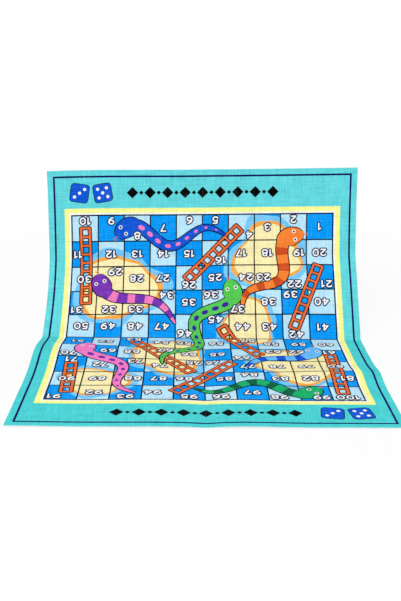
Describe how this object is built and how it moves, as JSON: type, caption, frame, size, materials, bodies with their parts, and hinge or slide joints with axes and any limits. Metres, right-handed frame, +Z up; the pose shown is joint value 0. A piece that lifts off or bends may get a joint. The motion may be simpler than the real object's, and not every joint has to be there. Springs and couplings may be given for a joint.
{
  "type": "snakes and ladders board",
  "caption": "Printed cloth snakes and ladders mat with pressed creases across it: the front half lies flat and the rear half stands raised; it folds along the creases.",
  "frame": {"origin": "on the floor, under the middle of the outer box", "axes": "+X to the right along the creases, +Y from the front edge to the raised rear, +Z up"},
  "size_m": [0.7, 0.58, 0.3442],
  "materials": {
    "cloth": "plain white cloth, slightly fuzzy",
    "teal_ink": "matt printed colour on cloth",
    "navy_ink": "matt printed colour on cloth",
    "yellow_ink": "matt printed colour on cloth",
    "blue_ink": "matt printed colour on cloth",
    "pale_blue_ink": "matt printed colour on cloth",
    "sand_ink": "matt printed colour on cloth",
    "line_ink": "matt printed colour on cloth",
    "ladder_ink": "matt printed colour on cloth",
    "black_ink": "matt printed colour on cloth",
    "purple_ink": "matt printed colour on cloth",
    "orange_ink": "matt printed colour on cloth",
    "green_ink": "matt printed colour on cloth",
    "sky_ink": "matt printed colour on cloth",
    "pink_ink": "matt printed colour on cloth",
    "deep_blue_ink": "matt printed colour on cloth",
    "lime_ink": "matt printed colour on cloth"
  },
  "bodies": {
    "front_inner": {"front_inner_panel": "cloth", "front_crease": "cloth", "middle_crease": "cloth", "front_inner_border": "teal_ink", "front_inner_navy_line": "navy_ink", "front_inner_yellow_frame": "yellow_ink", "front_inner_blue_squares": "blue_ink", "front_inner_pale_squares": "pale_blue_ink", "front_inner_islands": "sand_ink", "front_inner_grid_lines": "line_ink", "front_inner_ladders": "ladder_ink", "green_snake_tail": "green_ink", "sky_snake": "sky_ink", "pink_snake_head": "pink_ink"},
    "front_outer": {"front_outer_panel": "cloth", "front_outer_border": "teal_ink", "front_outer_navy_line": "navy_ink", "front_outer_yellow_frame": "yellow_ink", "front_outer_blue_squares": "blue_ink", "front_outer_pale_squares": "pale_blue_ink", "front_outer_islands": "sand_ink", "front_outer_grid_lines": "line_ink", "front_outer_ladders": "ladder_ink", "front_diamond_row": "black_ink", "front_dice": "deep_blue_ink", "pink_snake_tail": "pink_ink", "lime_snake": "lime_ink"},
    "rear_inner": {"rear_inner_panel": "cloth", "rear_crease": "cloth", "rear_inner_border": "teal_ink", "rear_inner_navy_line": "navy_ink", "rear_inner_yellow_frame": "yellow_ink", "rear_inner_blue_squares": "blue_ink", "rear_inner_pale_squares": "pale_blue_ink", "rear_inner_islands": "sand_ink", "rear_inner_grid_lines": "line_ink", "rear_inner_ladders": "ladder_ink", "purple_snake": "purple_ink", "orange_snake_tail": "orange_ink", "green_snake_head": "green_ink"},
    "rear_outer": {"rear_outer_panel": "cloth", "rear_outer_border": "teal_ink", "rear_outer_navy_line": "navy_ink", "rear_outer_yellow_frame": "yellow_ink", "rear_outer_blue_squares": "blue_ink", "rear_outer_pale_squares": "pale_blue_ink", "rear_outer_islands": "sand_ink", "rear_outer_grid_lines": "line_ink", "rear_outer_ladders": "ladder_ink", "rear_diamond_row": "black_ink", "rear_dice": "deep_blue_ink", "orange_snake_head": "orange_ink", "blue_snake": "deep_blue_ink"}
  },
  "joints": [
    {"name": "front_fold", "type": "hinge", "parent": "front_inner", "child": "front_outer", "pos_m": [0, -0.09004, -0.0003], "axis": [1, 0, 0], "range_deg": [0, 172], "deforming": ["front_crease"]},
    {"name": "middle_fold", "type": "hinge", "parent": "front_inner", "child": "rear_inner", "pos_m": [0, 0.10996, 0.0018], "axis": [1, 0, 0], "range_deg": [-36, 112], "deforming": ["middle_crease"]},
    {"name": "rear_fold", "type": "hinge", "parent": "rear_inner", "child": "rear_outer", "pos_m": [0, 0.24534, 0.14902], "axis": [1, 0, 0], "range_deg": [-172, 0], "deforming": ["rear_crease"]}
  ]
}
